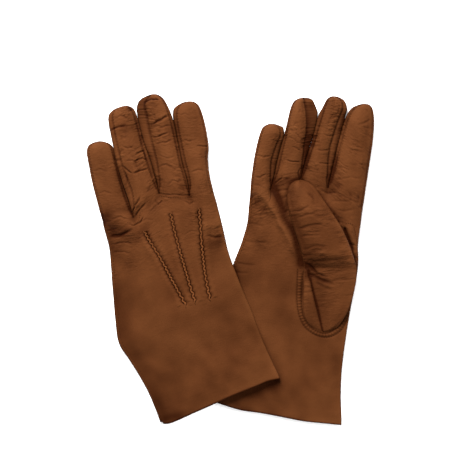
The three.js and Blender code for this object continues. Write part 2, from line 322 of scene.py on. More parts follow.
# Raised folds, or valleys where below 0: a line, how high, and the width on its left and its right
RIDGES = {
    "left": [
        ([(-112, 24), (-98, 30), (-86, 26), (-78, 18)], 0.9, 6, 6),
        ([(-24, 26), (-14, 28), (-6, 32)], 0.9, 4, 3),
    ],
    "right": [
        ([(20, 64), (30.5, 49.5), (38.8, 38), (48, 22), (54.2, 7), (59.8, -6)], 2.8, 8, 3.0),
        ([(34.5, 63), (42, 45.5), (50, 26.5), (56.8, 8.5), (62, -6)], -1.5, 3.8, 4),
        ([(100, 30), (103.6, 21), (107, 10), (108.5, 0)], 0.9, 1.6, 2.2),
    ],
}

# Painted shade and painted light: lines where the leather's colour is made darker to stand for shadow and shade,
# or lighter to stand for light: a line, how far it spreads, how much
PAINTED_LIGHT_AND_SHADE = {
    "left": [
        ([(-106, 30), (-100, -20), (-94, -70), (-68, -112), (-57, -137)], 13, -0.62),
        ([(-106, 34), (-90, 24), (-73, 22)], 7, -0.8),
        ([(-64, -120), (-48, -136)], 12, -0.55),
        ([(-57, -138), (-28, -128), (10, -112), (38, -102)], 4, -0.5),
        ([(-22, 14), (-8, 17)], 5, -0.6),
        ([(-101, 107), (-92, 112)], 6, -0.5),
        ([(-76, 133), (-66, 133)], 6, -0.65),
        ([(-60, 97), (-52, 110)], 7, -0.25),
        ([(-66, 44), (-52, 44)], 5, -0.3),
    ],
    "right": [
        ([(35.5, 61), (43, 45), (51, 26), (57, 8.5), (61.5, -4)], 4.2, -1.3),
        ([(12, 52), (12, 20), (5, -10), (2, -50)], 14, -0.42),
        ([(34, 0), (42, -30), (48, -60)], 15, -0.32),
        ([(0, -22), (12, -50), (24, -80), (38, -104)], 7, -0.5),
        ([(-8, -118), (12, -116), (32, -108)], 8, -0.8),
        ([(40, 64), (58, 66)], 6, -0.7),
        ([(-10, -121), (24, -130), (60, -136)], 4, -0.5),
        ([(86, 74), (88, 60)], 5, -0.4),
        ([(46, -80), (70, -90)], 14, 0.1),
        ([(2.5, -5), (9, -25), (19, -52), (29, -78), (40, -102)], 2.6, -0.8),
        ([(47.5, 42), (48, 55), (53, 64.5), (60, 68), (67, 65), (78, 52), (90, 35)], 1.8, -0.45),
        ([(69, 130), (69, 107), (65.5, 88), (61.5, 72)], 2.9, -0.9),
        ([(97.4, 121), (93, 107), (90, 88), (85, 66)], 2.2, -0.7),
    ],
    "right thumb": [
        ([(48, 55), (54, 26), (61, 2), (63, -10)], 8, -0.6),
        ([(70, -14), (80, -20)], 6, -0.35),
        ([(92, 30), (103, 4), (106, -18)], 5, 0.3),
        ([(84, -6), (96, -24)], 9, 0.25),
    ],
}

STITCH_SINK = 0.05  # how deep a stitch lies in the leather
STITCH_TAPER = np.array((0.35, 0.9, 1, 0.9, 0.35))
POINT_SIDES = 10
# Rows of stitches besides those of the outer seams: line, pitch, length and radius of a stitch
STITCHED = {
    "right": [(row, 2.1, 1.3, 0.22) for row in (THUMB_SEAM_OUT, THUMB_SEAM_IN)]
    + [(row, 1.9, 1.2, 0.2) for row in QUIRK_SEAMS],
    "left": [(row, 2.0, 1.1, 0.17) for row in CROTCH_SEAMS],
}

SOFT_SHEEN = {"Specular IOR Level": 0.06, "IOR": 1.25, "Specular Tint": (1, 0.72, 0.5, 1)}
LEATHER_COLORS = ((0.0407, 0.0125, 0.0037), (0.0567, 0.0179, 0.0055))
LIGHTS = (  # name, place, size and power
    ("key", (-0.45, 1.5, 1.25), 0.8, 150),
    ("fill", (1.6, 0.2, 1.2), 1.2, 30),
    ("front", (-1.3, -1.1, 1.2), 1.4, 16),
)
FLOOR_SIZE = 6.0
VIEW_WIDTH = 0.391  # of the surface that the picture spans
VIEW_SHIFT_Y = 0.0245  # the gloves lie below the middle of the picture
CAMERA_HEIGHT = 2.2
SENSOR = 36.0


# ---------------------------------------------------------------- small tools
def smooth(a, b, x):
    t = np.clip((np.asarray(x, float) - a) / (b - a), 0, 1)
    return t * t * (3 - 2 * t)


def curve(points, count):
    """A smooth line through the points, as evenly spaced points."""
    p = np.array(points, float)
    p = np.vstack([2 * p[0] - p[1], p, 2 * p[-1] - p[-2]])
    t = np.linspace(0, 1, 25)[:-1, None]
    dense = []
    for a, b, c, d in zip(p, p[1:], p[2:], p[3:]):
        dense.append(0.5 * (2 * b + (c - a) * t + (2 * a - 5 * b + 4 * c - d) * t**2
                            + (3 * b - a - 3 * c + d) * t**3))
    dense = np.vstack([*dense, p[-2:-1]])
    run = distance_along(dense)
    at = np.linspace(0, run[-1], count)
    return np.stack([np.interp(at, run, dense[:, k]) for k in range(p.shape[1])], 1)


def outline(start, a_side, tip, b_side, end):
    """A finger's two sides, each from the knuckle to the tip, that make one round curve at the tip."""
    corners = [start, *a_side, tip, *b_side[::-1], end]
    whole = curve(corners, 2000)
    turn = np.argmin(np.linalg.norm(whole - np.array(tip), axis=1))
    return whole[: turn + 1], whole[turn:][::-1]


def length_of(points):
    return np.linalg.norm(np.diff(np.array(points, float), axis=0), axis=1).sum()


def distance_along(points):
    """How far along a line each of its points is."""
    return np.concatenate([[0], np.cumsum(np.linalg.norm(np.diff(points, axis=0), axis=1))])


def averaged(values, reach):
    """Each value averaged with that many on either side of it."""
    count = 2 * reach + 1
    return np.convolve(np.pad(values, reach, "edge"), np.ones(count) / count, "valid")


def bell(distance, width):
    """1 on a line, falling away smoothly over about that width."""
    return np.exp(-((distance / width) ** 2))


def fade_ends(share, first, last):
    """0 at both ends of a line and 1 between them. first and last are shares of its length."""
    return smooth(0, first, share) * smooth(0, last, 1 - share)


def quads_of(ids):
    """The faces between neighbouring rows and columns of a grid of point numbers."""
    corners = [ids[:-1, :-1], ids[:-1, 1:], ids[1:, 1:], ids[1:, :-1]]
    return np.stack(corners, -1).reshape(-1, 4)


_random = np.random.default_rng(7)
_order = np.tile(_random.permutation(256), 2)
_slopes = _random.normal(size=(256, 3))
_slopes /= np.linalg.norm(_slopes, axis=1, keepdims=True)


def noise(points, size, seed=0):
    """Smooth gradient noise, about -1 to 1, with bumps of that size. size may differ by axis."""
    p = np.asarray(points, float) / np.asarray(size, float) + seed * 17.31
    cell = np.floor(p).astype(int)
    f = p - cell
    fade = f**3 * (f * (f * 6 - 15) + 10)
    total = np.zeros(len(p))
    for corner in product((0, 1), repeat=3):
        i = (cell + corner) & 255
        slope = _slopes[_order[_order[_order[i[:, 0]] + i[:, 1]] + i[:, 2]]]
        weight = np.prod(np.where(corner, fade, 1 - fade), axis=1)
        total += weight * np.einsum("ij,ij->i", slope, f - corner)
    return total * 1.6


def waver(points, flow, amount):
    """Plan positions that waver a little, so that every listed line wavers as real folds do."""
    sway = np.stack([noise(flow, (9, 9, 9), 21), noise(flow, (9, 9, 9), 22)], 1)
    return points[:, :2] + amount * sway


def from_path(points, path):
    """Each point's distance from a line, its share of the way along it, and which side it is on."""
    best = np.full(len(points), 1e9)
    share = np.zeros(len(points))
    side = np.zeros(len(points))
    path = np.array(path, float)
    run = distance_along(path)
    for a, b, start in zip(path, path[1:], run):
        d = b - a
        size = np.linalg.norm(d)
        rel = points - a
        t = np.clip((rel @ d) / size**2, 0, 1)
        dist = np.linalg.norm(rel - t[:, None] * d, axis=1)
        near = dist < best
        best[near] = dist[near]
        share[near] = (start + t[near] * size) / run[-1]
        side[near] = np.sign(d[0] * rel[near, 1] - d[1] * rel[near, 0])
    return best, share, side


# ---------------------------------------------------------------- sections of a glove
def section(left, right, inset_left, inset_right, centre, side, dome, belly, fullness=FINGER_FULLNESS,
            columns=FINGER_COLUMNS):
    """Four grids that go round a finger: top, index side, underside and little-finger side. Every argument
    up to belly has one value for each row."""
    across = right - left
    width = np.maximum(np.linalg.norm(across, axis=1), 1e-6)
    both = np.maximum((inset_left + inset_right) / (0.8 * width), 1)
    lf = (inset_left / width / both)[:, None]
    rf = (inset_right / width / both)[:, None]
    s = np.linspace(0, 1, columns + 1)[None, :]
    flat = lf + s * (1 - lf - rf)
    bulge = 1 - np.abs(2 * s - 1) ** fullness
    turn = np.linspace(math.pi / 2, -math.pi / 2, SIDE_COLUMNS + 1)[None, :]

    def place(share, height):
        xy = left[:, None, :] + share[:, :, None] * across[:, None, :]
        return np.dstack([xy, height])

    c, h, d, b = (x[:, None] for x in (centre, side, dome, belly))

    def flank(inset):
        """Round where the seam is near the outline, and nearly flat and slanting where it is far in."""
        power = np.interp(inset, [2, 5], [1, 1.45])[:, None]
        level = np.sign(np.sin(turn)) * np.abs(np.sin(turn)) ** power
        return 1 - np.cos(turn) ** power, level

    out_a, level_a = flank(inset_left)
    out_b, level_b = flank(inset_right)
    return {
        "top": place(flat, c + h + d * bulge),
        "under": place(flat, c - h - b * bulge),
        "a": place(lf * out_a, c + h * level_a),
        "b": place(1 - rf * out_b, c + h * level_b),
    }


def lift_at(share):
    """How much of the left glove's lift there is, by the share of the way across from the little side."""
    return smooth(0.02, 0.42, share)


def finger_outlines(glove):
    """Both sides of every finger, and how far each bulges past them towards its neighbour."""
    spec = GLOVES[glove]
    sides = {}
    for i, name in enumerate(FINGERS):
        a_side, tip, b_side = spec["fingers"][name]
        left, right = outline(spec["knuckles"][i], a_side, tip, b_side, spec["knuckles"][i + 1])
        rows = int(max(length_of(left), length_of(right)) / STEP)
        sides[name] = [curve(left[::20], rows), curve(right[::20], rows)]
        sides[name][0][-1] = sides[name][1][-1] = tip
    bulges = {name: [np.zeros(len(sides[name][0])), np.zeros(len(sides[name][0]))] for name in FINGERS}
    for one, two in zip(FINGERS, FINGERS[1:]):
        pairs = ((one, 1, sides[two][0]), (two, 0, sides[one][1]))
        for name, which, other in pairs:
            gap, up_other, _ = from_path(sides[name][which], other)
            fill = np.clip(gap / 2 - FINGER_GAP / 2, 0, BULGE_MOST)
            fill *= smooth(0, 0.3, gap) * (1 - smooth(5, 11, gap))
            fill *= 1 - smooth(0.68, 0.88, up_other)
            fill *= 1 - smooth(0.86, 0.97, np.linspace(0, 1, len(gap)))
            bulges[name][which] = fill
    return sides, bulges


def finger_grids(glove, name, index, sides, bulges):
    """One finger's grids from knuckle to tip, and how far along it each row is."""
    left, right = sides
    rows = len(left)
    t = np.linspace(0, 1, rows)
    along = t * (rows - 1) * STEP
    width = np.linalg.norm(right - left, axis=1)
    full = width[t > 0.45].max()
    cap = np.where(t > 0.5, np.clip(width / (0.96 * full), 0, 1), 1) ** 0.85
    grow = smooth(0, 8, along)
    insets = []
    for key, bulge, outer_finger in zip("ab", bulges, ("little", "index")):
        at, size = np.array(SEAMS[glove][name][key]).T
        inset = (np.interp(t, at, size) + bulge) * np.clip(width / (0.5 * full), 0.02, 1)
        foot = SEAM_INSET if name == outer_finger else 0
        insets.append(foot + (inset - foot) * grow)
    outward = (right - left) / np.maximum(width, 1e-6)[:, None]
    left = left - outward * bulges[0][:, None]
    right = right + outward * bulges[1][:, None]
    centre = (FINGER_SIDE + BELLY) * (0.45 + 0.55 * cap)
    grids = section(left, right, *insets, centre, FINGER_SIDE * cap, FINGER_DOME * cap, BELLY * cap)
    if glove == "left":
        raise_finger(grids, index, t, grow)
    return grids, along


def raise_finger(grids, index, t, grow):
    """The left glove's fingers start at the height of its lifted knuckles and come down to the table."""
    shares = knuckle_shares(GLOVES["left"])
    lift = lift_at((shares[index] + shares[index + 1]) / 2)
    low, high = lift_at(shares[index]), lift_at(shares[index + 1])
    drop = (1 - smooth(0, 0.95, t))[:, None]
    grow = grow[:, None]
    for key, grid in grids.items():
        columns = grid.shape[1]
        share = {"a": np.zeros(columns), "b": np.ones(columns)}.get(key, np.linspace(0, 1, columns))
        start = (low + share * (high - low))[None, :]
        grid[:, :, 2] += LEFT_LIFT * (drop * start * (1 - grow) + drop * lift * grow)


def knuckle_shares(spec):
    """How far across the hand each end of a knuckle line is, from the little side to the index side."""
    run = distance_along(np.array(spec["knuckles"], float))
    return run / run[-1]


def finger_spread(spec):
    """How far across the hand each of its columns is, so that they meet the fingers' columns."""
    shares = knuckle_shares(spec)
    parts = [np.linspace(a, b, FINGER_COLUMNS + 1)[:-1] for a, b in zip(shares, shares[1:])]
    return np.concatenate([*parts, [1.0]])


def hand_grids(glove, fingers):
    """The hand's grids from hem to knuckles, whose last rows are the fingers' first rows."""
    spec = GLOVES[glove]
    little = [*spec["little_edge"], spec["knuckles"][0]]
    index = [*spec["index_edge"], spec["knuckles"][-1]]
    rows = int(max(length_of(little), length_of(index)) / STEP)
    v = np.linspace(0, 1, rows)
    along = (v - 1) * (rows - 1) * STEP
    at, sides, domes = np.array(HAND_HEIGHTS).T
    side = averaged(np.interp(v, at, sides), 20)
    dome = averaged(np.interp(v, at, domes), 20)
    belly = np.full(rows, BELLY)
    inset = np.full(rows, SEAM_INSET)
    columns = 4 * FINGER_COLUMNS
    grids = section(curve(little, rows), curve(index, rows), inset, inset, side + belly, side, dome, belly,
                    HAND_FLATNESS, columns)
    # Columns follow the fingers' columns at the knuckles, and keep their share of the width below them.
    spread = finger_spread(spec)
    even = np.linspace(0, 1, columns + 1)
    for key, row, axis in product(("top", "under"), range(rows), range(3)):
        grids[key][row, :, axis] = np.interp(spread, even, grids[key][row, :, axis])
    if glove == "left":
        height = CUFF_LIFT + (LEFT_LIFT - CUFF_LIFT) * smooth(0.2, 0.5, v)
        for key, grid in grids.items():
            share = {"a": np.zeros(1), "b": np.ones(1)}.get(key, spread)
            grid[:, :, 2] += height[:, None] * lift_at(share)[None, :]
    else:
        rise = smooth(0.2, 0.55, v) * (1 - smooth(0.88, 1, v))
        side_fade = smooth(0.05, 0.6, spread) * (1 - smooth(0.8, 1, spread))
        grids["top"][:, :, 2] += PALM_RISE * rise[:, None] * side_fade
    meet_ends(grids, fingers, spec, spread, v, along)
    return grids, along


def meet_ends(grids, fingers, spec, spread, v, along):
    """Pulls the hand's first rows onto the hem and its last rows onto the fingers' first rows."""
    hem = curve(spec["hem"], 200)
    hem_row = np.stack([np.interp(spread, np.linspace(0, 1, 200), hem[:, k]) for k in range(2)], 1)
    hem_pull = (1 - smooth(0, 0.3, v))[:, None, None]
    knuckle_pull = (smooth(0.6, 1, v) ** 2)[:, None, None]
    ripple = 1 - smooth(0, 15, -along)
    for key in ("top", "under"):
        grid = grids[key]
        knuckle = np.vstack([fingers[n][key][0][: -1 if n != "index" else None] for n in FINGERS])
        hem_off = hem_row - grid[0, :, :2]
        knuckle_off = knuckle[:, :2] - grid[-1, :, :2]
        grid[:, :, :2] += hem_pull * hem_off[None] + knuckle_pull * knuckle_off[None]
        grid[:, :, 2] += ripple[:, None] * (knuckle[None, :, 2] - grid[:, :, 2])
        grid[-1] = knuckle
    top, under = grids["top"], grids["under"]
    for key, finger, edge in (("a", "little", 0), ("b", "index", -1)):
        grid = grids[key]
        shift = (top[:, edge, :] + under[:, edge, :]) / 2 - (grid[:, 0, :] + grid[:, -1, :]) / 2
        grid += shift[:, None, :]
        grid[-1] = fingers[finger][key][0]
        grid[:, 0], grid[:, -1] = top[:, edge], under[:, edge]


# ---------------------------------------------------------------- one welded skin per glove
class Skin:
    """Grids of points welded into one surface, which can be displaced as a whole and then cut into pieces."""

    def __init__(self):
        self.grids = {}
        self.coords = []
        self.extra = []
        self.seam = []
        self.strip = []
        self.count = 0

    def add(self, name, grid, across, along, zone, seam_ends=(9, 9), strip=0.0):
        """seam_ends is 0 for a grid edge that is a seam, and strip is 1 for the strips between fingers."""
        rows, columns = grid.shape[:2]
        ids = np.arange(rows * columns).reshape(rows, columns) + self.count
        self.grids[name] = ids
        self.coords.append(grid.reshape(-1, 3))
        full = np.stack(np.broadcast_arrays(across, along, np.full((rows, columns), float(zone))), -1)
        self.extra.append(full.reshape(-1, 3))
        step = np.linalg.norm(np.diff(grid, axis=1), axis=2)
        run = np.concatenate([np.zeros((rows, 1)), np.cumsum(step, axis=1)], axis=1)
        seam = np.minimum(run + seam_ends[0], run[:, -1:] - run + seam_ends[1])
        self.seam.append(seam.ravel())
        self.strip.append(np.full(rows * columns, strip))
        self.count += rows * columns

    def weld(self):
        p = np.vstack(self.coords)
        extra = np.vstack(self.extra)
        _, first, inverse = np.unique(np.round(p * 500).astype(np.int64), axis=0, return_index=True,
                                      return_inverse=True)
        inverse = inverse.ravel()
        self.points, self.extra = p[first], extra[first]
        seam = np.full(len(first), 99.0)
        np.minimum.at(seam, inverse, np.concatenate(self.seam))
        self.seam = seam
        strip = np.ones(len(first))
        np.minimum.at(strip, inverse, np.concatenate(self.strip))
        self.strip = strip
        self.grids = {name: inverse[ids] for name, ids in self.grids.items()}
        self.faces = {name: self.quads(name) for name in self.grids}
        self.all_faces = np.vstack(list(self.faces.values()))

    def quads(self, name):
        ids = self.grids[name]
        q = quads_of(ids)
        return q[:, ::-1] if name.endswith(("under", "_a")) else q

    def normals(self):
        p, f = self.points, self.all_faces
        n = np.cross(p[f[:, 2]] - p[f[:, 0]], p[f[:, 3]] - p[f[:, 1]])
        total = np.zeros_like(p)
        for k in range(4):
            np.add.at(total, f[:, k], n)
        size = np.linalg.norm(total, axis=1, keepdims=True)
        return total / np.maximum(size, 1e-12)


def whole_glove(glove):
    """A glove's hand and fingers as one welded skin."""
    skin = Skin()
    spec = GLOVES[glove]
    shares = knuckle_shares(spec)
    breadth = length_of(spec["knuckles"])
    sides, bulges = finger_outlines(glove)
    around = np.linspace(0, SIDE_UNROLLED, SIDE_COLUMNS + 1)
    fingers = {}
    for i, name in enumerate(FINGERS):
        fingers[name], run = finger_grids(glove, name, i, sides[name], bulges[name])
        columns = breadth * np.linspace(shares[i], shares[i + 1], FINGER_COLUMNS + 1)
        across = {"top": columns, "under": columns + OTHER_SIDE, "a": breadth * shares[i] - around,
                  "b": breadth * shares[i + 1] + around}
        for key, grid in fingers[name].items():
            outer = name in ("little", "index")
            ends = {"top": (0, 0), "under": (FAR, FAR) if outer else (0, 0)}.get(key, (0, FAR))
            between = (key == "a" and name != "little") or (key == "b" and name != "index")
            skin.add(f"{name}_{key}", grid, across[key][None, :], run[:, None], i + 1, ends, float(between))
    hand, run = hand_grids(glove, fingers)
    spread = finger_spread(spec) * breadth
    across = {"top": spread, "under": spread + OTHER_SIDE, "a": -around, "b": breadth + around}
    for key, grid in hand.items():
        ends = (0, FAR) if key in ("top", "a") else (FAR, FAR)
        skin.add(f"hand_{key}", grid, across[key][None, :], run[:, None], 0, ends)
    skin.weld()
    return skin


# ---------------------------------------------------------------- creases, folds and seams
def crease(height, where, path, depth, width, ends=0.25):
    """A narrow fold pressed into the leather, with a soft lip that is lower on the path's left."""
    d, s, side = from_path(where, path)
    fade = fade_ends(s, ends, ends)
    height -= depth * fade * bell(d, 0.62 * width)
    height += depth * fade * bell(d - 1.5 * width, 1.1 * width) * np.where(side > 0, 0.12, 0.3)


def ridge(height, where, path, rise, left_width, right_width, ends=0.2):
    """A soft raised fold, which can fall away faster on one side. left is the path's left."""
    d, s, side = from_path(where, path)
    height += rise * fade_ends(s, ends, ends) * bell(d, np.where(side > 0, left_width, right_width))


def fine_creases(flow, size, seed, sharp):
    """Thin lines where a stretched noise crosses zero: 0 between them and 1 in them."""
    return bell(noise(flow, size, seed), sharp)


def add_wrinkles(height, flow, strength, key):
    for depth, size, seed in SOFT_WRINKLES[key]:
        height += depth * strength * noise(flow, size, seed)
    for depth, size, seed, sharp in SHARP_WRINKLES[key]:
        height -= depth * strength * fine_creases(flow, size, seed, sharp)


def blur(grid, size):
    reach = int(3 * size)
    k = np.exp(-0.5 * (np.arange(-reach, reach + 1) / size) ** 2)
    k /= k.sum()
    for axis in (0, 1):
        grid = np.apply_along_axis(lambda line: np.convolve(line, k, "same"), axis, grid)
    return grid


def painted_relief_shading(points, heights, fine=2.2, broad=7.0):
    """Painted shade in the recesses and painted light on the high places: heights compared with the average
    height round about. heights holds every point of the glove that can be seen from above."""
    low = heights[:, :2].min(axis=0) - 2
    size = np.ceil((heights[:, :2].max(axis=0) + 2 - low) / CELL).astype(int) + 1
    top = np.full(size, -99.0)
    i = ((heights[:, :2] - low) / CELL).astype(int)
    np.maximum.at(top, (i[:, 0], i[:, 1]), heights[:, 2])
    there = top > -50
    top[~there] = 0
    tone = np.zeros(len(points))
    j = np.clip(((points[:, :2] - low) / CELL).astype(int), 0, size - 1)
    for reach, strength, most in ((fine, 0.26, 0.8), (broad, 0.08, 0.5)):
        share = blur(there.astype(float), reach / CELL)
        level = blur(top, reach / CELL) / np.maximum(share, 1e-6) * (0.35 + 0.65 * share)
        step = points[:, 2] - level[j[:, 0], j[:, 1]]
        covered = smooth(3.5, 7, -step)
        tone += np.clip(strength * step, -most, 0.45 * most) * (1 - 0.8 * covered)
    return tone


# Painted shade and painted light along the lines of the table above, each wavering a little.
def paint_light_and_shade(key, points):
    total = np.zeros(len(points))
    wander = 3 * np.stack([noise(points, (22, 22, 50), seed) for seed in (31, 32)], 1)
    for path, spread, amount in PAINTED_LIGHT_AND_SHADE.get(key, []):
        total += amount * bell(from_path(points[:, :2] + wander, path)[0], spread)
    return total


def displace(glove, skin):
    """Presses wrinkles, folds, seams and stitches into a glove, and works out its painted shade and light:
    darker in hollows, lighter on high places.
    """
    p, n = skin.points, skin.normals()
    up = smooth(0.1, 0.55, n[:, 2])
    across, along, zone = skin.extra.T
    flow = np.stack([across, along, np.full(len(p), 3.0)], 1)
    xy = waver(p, flow, 1.1)
    h = 0.5 * noise(flow, (26, 34, 20), 1) + 0.25 * noise(flow, (11, 13, 20), 2)
    # Leather wrinkles across the fingers and the knuckles, and hardly at all on the cuff.
    cuff = smooth(-75, -30, along)
    patch = smooth(-0.25, 0.45, noise(flow, (16, 14, 9), 3))
    rumple = smooth(RUMPLE_FROM[glove], 14, along) * np.array(RUMPLE[glove])[zone.astype(int)]
    crinkle = (0.3 + 0.7 * rumple) * patch * cuff
    if glove == "right":
        valley = from_path(p[:, :2], RIDGES[glove][1][0])[0]
        crinkle *= 1 - 0.75 * bell(valley, 6)
    add_wrinkles(h, flow, crinkle, "hand")
    h += 0.09 * noise(flow, (2.6, 2.2, 9), 5) * (0.2 + 0.8 * cuff)
    for path, depth, width in CREASES[glove]:
        crease(h, xy, path, depth, width)
    for path, rise, left_width, right_width in RIDGES[glove]:
        ridge(h, xy, path, rise, left_width, right_width)
    # Painted shade in creases and hollows and painted light on raised places, from the height pressed in.
    tone = np.clip(0.95 * h, -1.2, 0.25)
    press_seams(h, tone, skin, along)
    # Painted shade and painted light along the listed lines.
    tone += paint_light_and_shade(glove, p)
    press_hem(h, tone, along, cuff)
    if glove == "left":
        press_points(h, tone, p[:, :2])
    else:
        press_thumb_seam(h, tone, p[:, :2])
        press_quirk(h, tone, p[:, :2])
    skin.points = p + n * (h * up + 0.25 * h * (1 - up))[:, None]
    skin.shade = tone * np.maximum(up, skin.strip)
    skin.crinkle = np.clip(0.12 + 0.88 * cuff * (0.4 + 0.6 * patch), 0, 1)


def press_seams(h, tone, skin, along):
    """Seams pull the leather down, more at each stitch."""
    stitch = 0.75 + 0.25 * np.sin(along / STITCH_PITCH * 2 * math.pi)
    on_finger = smooth(-14, 2, along)
    groove = bell(skin.seam, 0.75) * (0.35 + 0.65 * on_finger)
    h -= 0.42 * groove * stitch
    h += 0.22 * on_finger * bell(skin.seam - 2.0, 0.9) * (1.4 - stitch)
    # The seam's groove is darker, and the strips between the fingers are painted darker all over as shade.
    tone -= 0.75 * groove * on_finger
    tone -= 0.3 * skin.strip * smooth(0, 2, skin.seam)


def press_hem(h, tone, along, cuff):
    from_hem = along - along.min()
    # Painted shade along the hem's edge, and a faint painted light a little way in from it.
    tone -= 0.8 * (1 - smooth(0, 1.4, from_hem)) - 0.1 * bell(from_hem - 3.5, 1.5)
    h -= 0.05 * bell(from_hem - 11.5, 1.2) * (1 - cuff)


def press_points(h, tone, xy):
    """The leather beside the raised points on the back dips, and is painted darker there as shade."""
    for path in POINTS.values():
        d, share, _ = from_path(xy, zigzag(path, 0.7)[0])
        ends = fade_ends(share, 0.05, 0.05)
        h -= ends * (1.2 * bell(d, 1.9) - 0.5 * bell(d - 4.4, 2.0))
        tone -= ends * 1.3 * np.exp(-((d / 1.55) ** 4))


def press_thumb_seam(h, tone, xy):
    """The band round the thumb's foot, with its rungs and the two sunken rows of stitches beside them."""
    rows = [curve(row, 12) for row in (THUMB_SEAM_OUT, THUMB_SEAM_IN)]
    band, share, _ = from_path(xy, curve([(a + b) / 2 for a, b in zip(*rows)], 60))
    rungs = 0.5 + 0.5 * np.sin(share * length_of(THUMB_SEAM_OUT) / RUNG_PITCH * 2 * math.pi)
    h += 0.55 * rungs * bell(band, 1.4) * smooth(0, 0.06, share) * smooth(0, 0.06, 1 - share)
    # Painted shade between the rungs, and in the two sunken rows of stitches below.
    tone -= 0.5 * (1 - rungs) * bell(band, 1.5)
    for row in (THUMB_SEAM_OUT, THUMB_SEAM_IN):
        d, share, _ = from_path(xy, curve(row, 60))
        sunk = bell(d, 0.8) * smooth(0, 0.05, share) * smooth(0, 0.05, 1 - share)
        h -= 0.5 * sunk
        tone -= 0.4 * sunk


def press_quirk(h, tone, xy):
    """The small open fold where the thumb's seam meets the palm, painted dark inside as shade."""
    d, share, _ = from_path(xy, curve(QUIRK, 40))
    open_gap = fade_ends(share, 0.15, 0.3)
    h -= 2.4 * open_gap * bell(d, 1.2)
    tone -= 1.8 * open_gap * bell(d, 1.1)


# ---------------------------------------------------------------- turning skins into pieces
def piece(name, points, faces, normals=None, flow=None, shade=None, crinkle=None):
    """A mesh object in metres, with only the points that its faces use, and never below the table."""
    used, local = np.unique(np.asarray(faces).ravel(), return_inverse=True)
    points = np.array(points, float)
    points[:, 2] = np.maximum(points[:, 2], TABLE_CLEARANCE)
    points += SHIFT
    polygons = []
    for q in local.reshape(-1, 4).tolist():
        corners = list(dict.fromkeys(q))
        if len(corners) > 2:
            polygons.append(corners)
    mesh = bpy.data.meshes.new(name)
    mesh.from_pydata((points[used] * MM).tolist(), [], polygons)
    mesh.polygons.foreach_set("use_smooth", [True] * len(mesh.polygons))
    if flow is not None:
        attribute = mesh.attributes.new("flow", "FLOAT_VECTOR", "POINT")
        attribute.data.foreach_set("vector", (flow[used] * MM).astype(np.float32).ravel())
    for label, values in (("shade", shade), ("crinkle", crinkle)):
        if values is not None:
            attribute = mesh.attributes.new(label, "FLOAT", "POINT")
            attribute.data.foreach_set("value", values[used].astype(np.float32))
    mesh.update()
    if normals is not None:
        mesh.normals_split_custom_set_from_vertices(normals[used].tolist())
    o = bpy.data.objects.new(name, mesh)
    bpy.context.scene.collection.objects.link(o)
    return o


def attach_finger(o):
    """Bakes the piece's placement into its points."""
    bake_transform(o)


def shade_recesses(glove, hand, thumb):
    """Paints shade into the recesses and light onto the high places. The left thumb is hidden under its glove,
    so only the right one takes part.
    """
    skins = (hand, thumb) if glove == "right" else (hand,)
    normals = [skin.normals() for skin in skins]
    seen = np.vstack([skin.points[n[:, 2] > 0.1] for skin, n in zip(skins, normals)])
    for skin, n in zip(skins, normals):
        skin.shade = skin.shade + smooth(-0.1, 0.2, n[:, 2]) * painted_relief_shading(skin.points, seen)


def sides_of(glove):
    """The names of the sides that face up and down."""
    return ("back", "palm") if GLOVES[glove]["up"] == "back" else ("palm", "back")


def build_glove(glove, skin):
    normals = skin.normals()
    flow = skin.extra * [1, 1, 0]
    top, under = sides_of(glove)

    def make(name, grid, node):
        o = piece(name, skin.points, skin.faces[grid], normals, flow, skin.shade, skin.crinkle)
        o.data.materials.append(LEATHER)
        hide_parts(node)
        return o

    for grid, node in (("top", f"{top}_panel"), ("under", f"{under}_panel"), ("a", "little_side_seam"),
                       ("b", "index_side_fold")):
        o = make(f"{glove}_skin_{node}", f"hand_{grid}", f"{glove}_{node}")
        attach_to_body(o, f"{glove}_hand")
    for name in FINGERS:
        a_name = "outer_seam" if name == "little" else "fourchette_a"
        b_name = "outer_fold" if name == "index" else "fourchette_b"
        for grid, node in (("top", top), ("under", under), ("a", a_name), ("b", b_name)):
            o = make(f"{glove}_skin_{name}_{node}", f"{name}_{grid}", f"{glove}_{name}_{node}")
            attach_finger(o)


def build_webs(glove, skin):
    """The bit of leather that closes the foot of the gap between two fingers."""
    middle = SIDE_COLUMNS // 2
    for one, other in zip(FINGERS[:-1], FINGERS[1:]):
        near, far = skin.grids[f"{one}_b"][:WEB_ROWS, middle], skin.grids[f"{other}_a"][:WEB_ROWS, middle]
        across = np.linspace(0, 1, WEB_COLUMNS)[None, :, None]
        grid = skin.points[near][:, None] * (1 - across) + skin.points[far][:, None] * across
        q = quads_of(np.arange(WEB_ROWS * WEB_COLUMNS).reshape(WEB_ROWS, WEB_COLUMNS))
        p = grid.reshape(-1, 3)
        # The web's low shade value paints it dark, as painted shade at the foot of the gap.
        o = piece(f"{glove}_web_{one}_{other}", p, q, None, p, np.full(len(p), -1.0), np.full(len(p), 0.3))
        o.data.materials.append(LEATHER)
        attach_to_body(o, f"{glove}_hand")


def build_lining(glove, skin):
    """The cloth inside the hand, a leather's thickness under the skin."""
    normals = skin.normals()
    cloth = skin.points - LEATHER_THICK * normals - CLOTH_GAP * normals
    flow = skin.extra * [1, 1, 0] + [0, 900, 0]
    for name, key in zip(sides_of(glove), ("hand_top", "hand_under")):
        q = quads_of(skin.grids[key][10:-12])
        if key == "hand_top":
            q = q[:, ::-1]
        o = piece(f"{glove}_cloth_{name}", cloth, q, None, flow, skin.shade)
        o.data.materials.append(CLOTH)
        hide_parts(f"{glove}_lining_{name}")
        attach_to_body(o, f"{glove}_hand")


